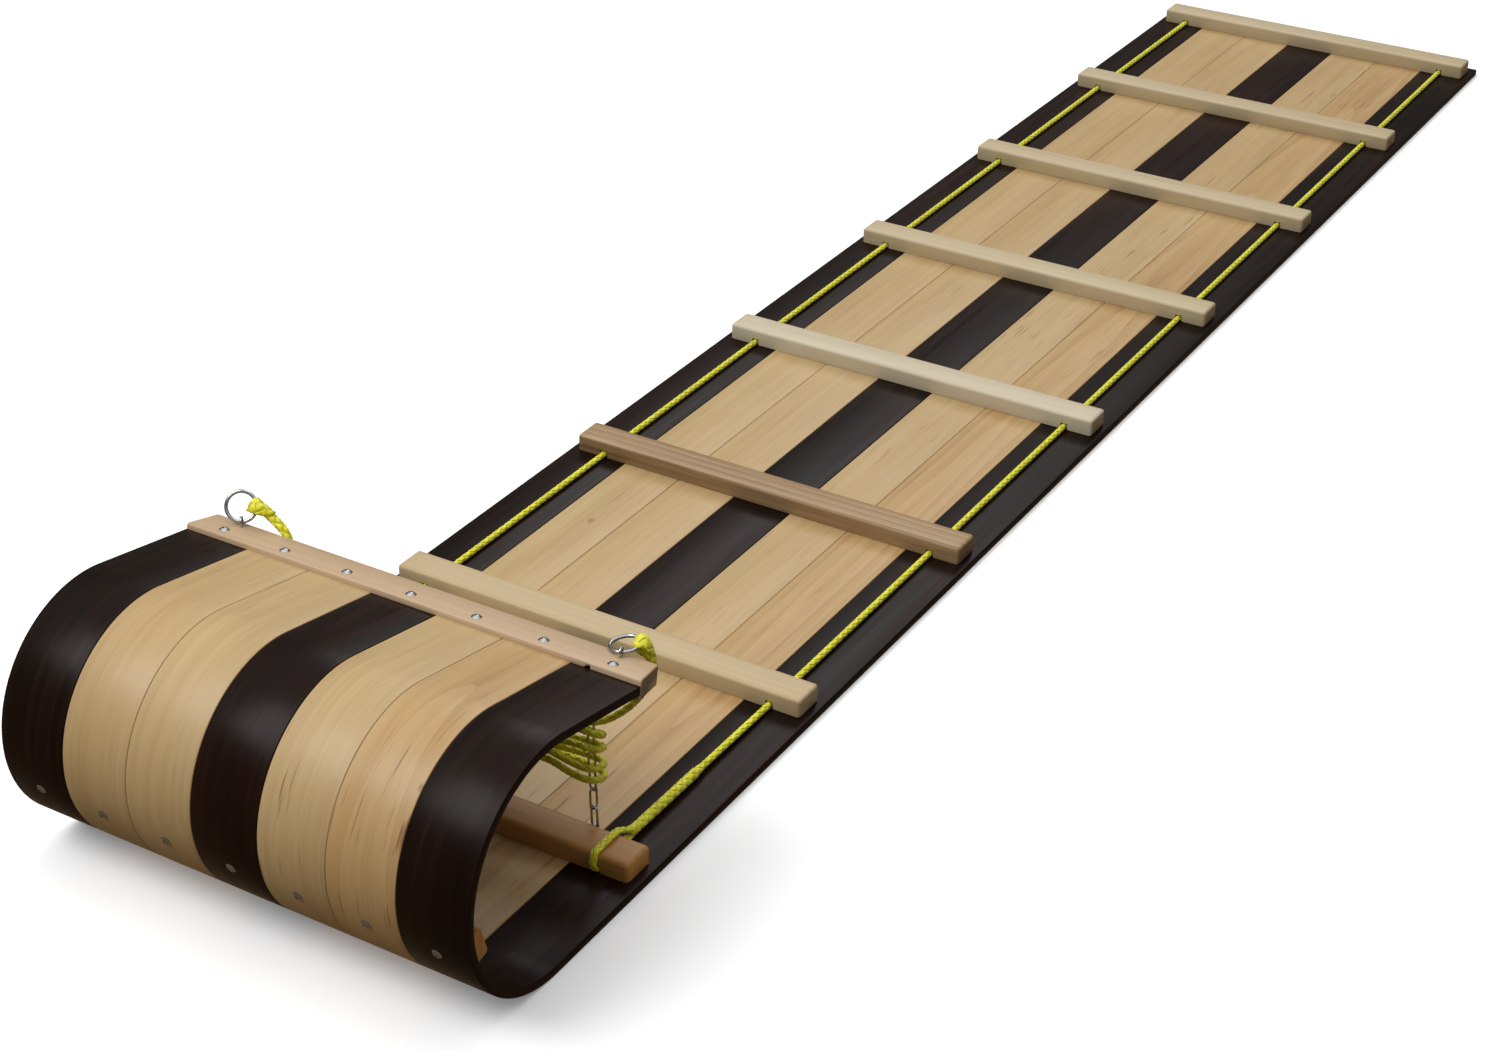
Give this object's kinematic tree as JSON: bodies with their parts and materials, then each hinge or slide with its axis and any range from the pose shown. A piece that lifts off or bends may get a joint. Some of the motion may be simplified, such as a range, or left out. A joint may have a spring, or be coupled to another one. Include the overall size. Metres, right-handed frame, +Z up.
{
  "type": "wooden toboggan",
  "caption": "Long flat sled of bent wooden slats with a curled nose, crossbars, side ropes, two tow rings and a stowed pull rope.",
  "frame": {"origin": "on the ground under the middle of the sled's box", "axes": "+X to the right when looking from the curled nose towards the tail (a forward-facing rider has it on the left), +Y from the nose towards the tail, +Z up"},
  "size_m": [0.4572, 2.3722, 0.2236],
  "materials": {
    "slat_dark": "near-black stain under satin varnish, with a red-brown cast",
    "slat_light": "clear varnished pale hardwood",
    "slat_warm": "clear varnished hardwood, a warmer board",
    "bar_pale": "clear varnished pale hardwood",
    "bar_brown": "clear varnished hardwood with strong brown grain",
    "bar_toe": "clear varnished brown hardwood",
    "bar_head": "clear varnished pinkish hardwood",
    "zinc_steel": "bright zinc plate",
    "rope_yellow": "braided polypropylene"
  },
  "bodies": {
    "sled": {"chain_foot_eye_left": "zinc_steel", "chain_foot_eye_right": "zinc_steel", "chain_left": "zinc_steel", "chain_right": "zinc_steel", "chain_top_eye_left": "zinc_steel", "chain_top_eye_right": "zinc_steel", "crossbar_1": "bar_pale", "crossbar_2": "bar_pale", "crossbar_3": "bar_pale", "crossbar_4": "bar_pale", "crossbar_5": "bar_pale", "crossbar_6": "bar_brown", "crossbar_7": "bar_pale", "crossbar_screws": "zinc_steel", "head_bar": "bar_head", "head_bar_screws": "zinc_steel", "nose_bar": "bar_toe", "nose_bar_screws": "zinc_steel", "pull_rope_hank": "rope_yellow", "pull_rope_lead_left": "rope_yellow", "pull_rope_lead_right": "rope_yellow", "ring_eye_left": "zinc_steel", "ring_eye_right": "zinc_steel", "side_rope_eye_left": "rope_yellow", "side_rope_eye_right": "rope_yellow", "side_rope_knot_left": "rope_yellow", "side_rope_knot_right": "rope_yellow", "side_rope_left": "rope_yellow", "side_rope_right": "rope_yellow", "side_rope_splice_left": "rope_yellow", "side_rope_splice_right": "rope_yellow", "slat_1": "slat_dark", "slat_2": "slat_light", "slat_3": "slat_light", "slat_4": "slat_dark", "slat_5": "slat_light", "slat_6": "slat_warm", "slat_7": "slat_dark", "toe_bar": "bar_toe"},
    "ring_left": {"tow_ring_left": "zinc_steel", "ring_knot_left": "rope_yellow"},
    "ring_right": {"tow_ring_right": "zinc_steel", "ring_knot_right": "rope_yellow"}
  },
  "joints": [
    {"name": "ring_left_swing", "type": "hinge", "parent": "sled", "child": "ring_left", "pos_m": [-0.192, -0.92652, 0.19958], "axis": [0.8572, 0.515, 0], "range_deg": [-68, 40], "deforming": ["pull_rope_lead_left"]},
    {"name": "ring_right_swing", "type": "hinge", "parent": "sled", "child": "ring_right", "pos_m": [0.192, -0.92652, 0.19958], "axis": [0.9519, 0.273, 0.1392], "range_deg": [0, 100], "deforming": ["pull_rope_lead_right"]}
  ]
}
